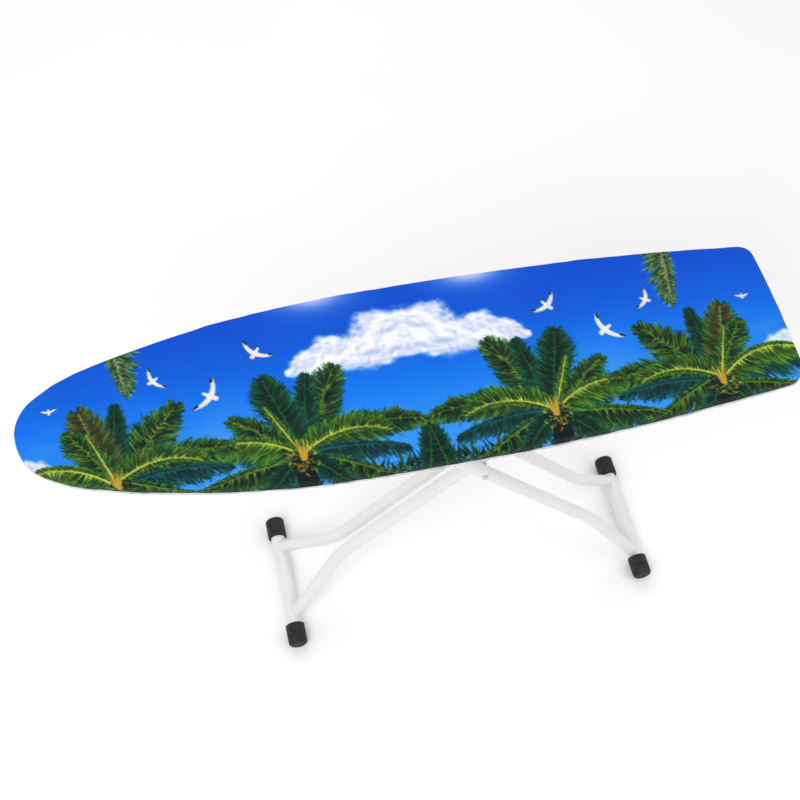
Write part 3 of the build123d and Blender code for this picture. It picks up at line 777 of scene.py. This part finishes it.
def make_cover():
    """The printed cover: shaped, settled by the cloth simulation, subdivided and coloured."""
    tight, faces, cloth, depth, outward = cover_shape()
    cover = mesh_object("printed_cover", tight, faces, cover_finish())
    inside = edge_distance(tight[:, :2])
    last = len(COVER_PROFILE) - 1
    # Creases are read in millimetres along the board, and the near side reads another stretch
    side_place = cloth[:, 0] * 1000 + 700 * (cloth[:, 1] < 0)
    ruffle = noise(side_place, cloth[:, 1] * 300, 17, 91) - 0.5
    sway = noise(side_place, cloth[:, 1] * 100, 60, 93) - 0.5
    start = tight.copy()
    band = depth >= 0
    share = np.clip(depth / last, 0, 1) * band
    around = np.zeros((len(tight), 2))
    around[band] = np.tile(outward, (len(COVER_PROFILE), 1))
    waves = ruffle * (0.5 + share) * RUFFLE + sway * SWAY
    start[:, :2] += around * np.clip(waves, -MOST_SINK, MOST_MOVE)[:, None]
    near_edge = smooth(FLAT_MARGIN, 4 * MM, inside) * (depth < 2)
    start[:, 2] += near_edge * (noise(side_place, cloth[:, 1] * 250, 13, 95) - 0.5) * EDGE_LUMPS
    cover.data.vertices.foreach_set("co", start.astype(np.float32).ravel())
    cover.data.update()
    held = np.where(depth >= last - 1, 1.0, 0.0)
    held = np.where((depth < 0) & (inside > FLAT_MARGIN), 1.0, held)
    held = np.where((depth < 0) & (inside <= FLAT_MARGIN), EDGE_HOLD, held)
    pull_tight(cover, held, depth >= 1)
    moved = read_points(cover.data) - tight
    outwards = (moved[:, :2] * around).sum(1)
    # In plan, points only move along their normals, and MOST_SINK keeps them outside the rim
    moved[:, :2] = around * np.clip(outwards, -MOST_SINK, MOST_MOVE)[:, None]
    moved[:, 2] = np.clip(moved[:, 2], -MOST_SINK, MOST_MOVE)
    cover.data.vertices.foreach_set("co", (tight + moved).astype(np.float32).ravel())
    place = cover.data.attributes.new("flat", "FLOAT_VECTOR", "POINT")
    place.data.foreach_set("vector", np.concatenate([cloth, np.zeros((len(cloth), 1))], 1)
                           .astype(np.float32).ravel())
    finer = cover.modifiers.new("finer", "SUBSURF")
    finer.levels = 2
    finer.render_levels = 2
    finer.boundary_smooth = "PRESERVE_CORNERS"
    apply_modifiers(cover)
    lay_print(cover.data)
    return cover


# ---------------------------------------------------------------- hem binding and felt pad
HEM_THICKNESS = 3 * MM
HEM_STATIONS = 1400
HEM_SIDES = 10
# Below 1, the round section of the hem turns squarer
HEM_SQUARENESS = 0.6


def make_hem():
    """A folded elastic binding, gathered all round under the cover's edge."""
    half_width = HEM_THICKNESS / 2
    rim, outward = perimeter(HEM_LOW.x - COVER_LOW.x + half_width, HEM_STATIONS)
    middle = (HEM_LOW.z + HEM_HIGH.z) / 2
    half_height = (HEM_HIGH.z - HEM_LOW.z) / 2
    s = np.arange(HEM_STATIONS) * 1.0
    gather = noise(s, 0 * s, 2.6, 41) - 0.5
    sway = noise(s, 0 * s, 14, 43) - 0.5
    points = []
    for k in range(HEM_SIDES):
        a = 2 * math.pi * k / HEM_SIDES
        squared_out = math.copysign(abs(math.cos(a)) ** HEM_SQUARENESS, math.cos(a))
        squared_up = math.copysign(abs(math.sin(a)) ** HEM_SQUARENESS, math.sin(a))
        out = half_width * squared_out + (gather * 0.9 + sway * 0.8) * MM
        up = half_height * squared_up + sway * 0.9 * MM
        points.append(np.concatenate([rim + outward * np.reshape(out, (-1, 1)),
                                      np.reshape(middle + up, (-1, 1))], 1))
    index = np.arange(HEM_SIDES * HEM_STATIONS).reshape(HEM_SIDES, HEM_STATIONS)
    faces = [strip_faces(index[k], index[(k + 1) % HEM_SIDES]) for k in range(HEM_SIDES)]
    return mesh_object("hem_tape", np.concatenate(points), np.concatenate(faces)[:, ::-1], tape_finish())


PAD_ROWS, PAD_COLUMNS = 120, 34
PAD_EDGE = 2 * MM
PAD_FUZZ = 0.4 * MM


def make_pad():
    """The felt pad: a thin closed mat with a rounded, slightly uneven edge."""
    inset = PAD_LOW.x - COVER_LOW.x
    patch, index, loop, outward = plan_grid(inset + PAD_EDGE, PAD_ROWS, PAD_COLUMNS)
    lumps = 0.25 * MM * (fractal(patch[:, 0] * 1000, patch[:, 1] * 1000, 30, 61) - 0.5)
    low = np.concatenate([patch, np.full((index.size, 1), PAD_LOW.z + 0.05 * MM)], 1)
    high = np.concatenate([patch, PAD_HIGH.z - 0.3 * MM + lumps[:, None]], 1)
    points, faces = [low, high], [grid_faces(index), grid_faces(index)[:, ::-1] + index.size]
    count, ring = 2 * index.size, loop
    fuzz = noise(np.arange(len(loop)) * 1.0, 0 * loop, 3, 63)[:, None]
    for angle in (-60, -25, 25, 60):
        a = math.radians(angle)
        z = (PAD_LOW.z + PAD_HIGH.z) / 2 + (PAD_HIGH.z - PAD_LOW.z) * 0.42 * math.sin(a)
        row = patch[loop] + outward * (PAD_EDGE * math.cos(a) - PAD_FUZZ * fuzz)
        points.append(np.concatenate([row, np.full((len(loop), 1), z)], 1))
        new = np.arange(count, count + len(loop))
        faces.append(strip_faces(ring, new)[:, ::-1])
        ring, count = new, count + len(loop)
    faces.append(strip_faces(ring, loop + index.size)[:, ::-1])
    return mesh_object("needle_felt_pad", np.concatenate(points), np.concatenate(faces), felt_finish())


cover = make_cover()
hem = make_hem()
pad = make_pad()
for piece, nodes, slot_name in ((cover, ("cover",), "cover_print"), (hem, ("hem_binding",), "hem_tape"),
                                (pad, ("felt_pad",), "felt")):
    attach(piece, BODY)
    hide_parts(*nodes)

# ---------------------------------------------------------------- floor, light and camera
FLOOR_SIZE = 14
LIGHT_TARGET = Vector((0, 0, 0.4))
SKY_STRENGTH = 0.74
bpy.ops.mesh.primitive_plane_add(size=FLOOR_SIZE, location=(0, 0, 0))
floor = bpy.context.object
floor.name = "floor"


def floor_finish():
    """A plain matt white studio floor."""
    f = Finish("studio_floor")
    f.colour(f.ramp(f.noise(2, 2), ((0.3, (0.93, 0.93, 0.935)), (0.7, (0.95, 0.95, 0.955)))))
    f.shader.inputs["Roughness"].default_value = 0.95
    return f.material


floor.data.materials.append(floor_finish())


def area_light(name, place, size, power):
    """A round soft light aimed at the light target, with its power in watts."""
    light = bpy.data.lights.new(name, "AREA")
    light.shape = "DISK"
    light.size = size
    light.energy = power
    o = bpy.data.objects.new(name, light)
    o.location = place
    o.rotation_euler = (LIGHT_TARGET - Vector(place)).to_track_quat("-Z", "Y").to_euler()
    link(o)


area_light("key", (-1.5, -1.8, 2.9), 1.8, 42)
area_light("fill", (2.2, -1.0, 2.4), 2.4, 12)
area_light("back", (0.0, 2.4, 2.6), 2.4, 17)
world = bpy.data.worlds.new("studio")
world.use_nodes = True
world.node_tree.nodes["Background"].inputs["Color"].default_value = (1, 1, 1, 1)
world.node_tree.nodes["Background"].inputs["Strength"].default_value = SKY_STRENGTH
bpy.context.scene.world = world
bpy.context.scene.view_settings.view_transform = "Standard"

# A 58 mm lens, high on the near side, rolled a little
AIM = Vector((0.0, 0.056, 0.5))
AZIMUTH, ELEVATION, ROLL, DISTANCE = -17.12, 58.98, 4.93, 1.9966
away = Vector((math.sin(math.radians(AZIMUTH)) * math.cos(math.radians(ELEVATION)),
               -math.cos(math.radians(AZIMUTH)) * math.cos(math.radians(ELEVATION)),
               math.sin(math.radians(ELEVATION))))
camera = bpy.data.objects.new("camera", bpy.data.cameras.new("camera"))
camera.data.lens = 58.0
turn = away.to_track_quat("Z", "Y").to_matrix() @ Matrix.Rotation(math.radians(ROLL), 3, "Z")
camera.matrix_world = Matrix.Translation(AIM + away * DISTANCE) @ turn.to_4x4()
link(camera)
bpy.context.scene.camera = camera

bpy.context.view_layer.update()
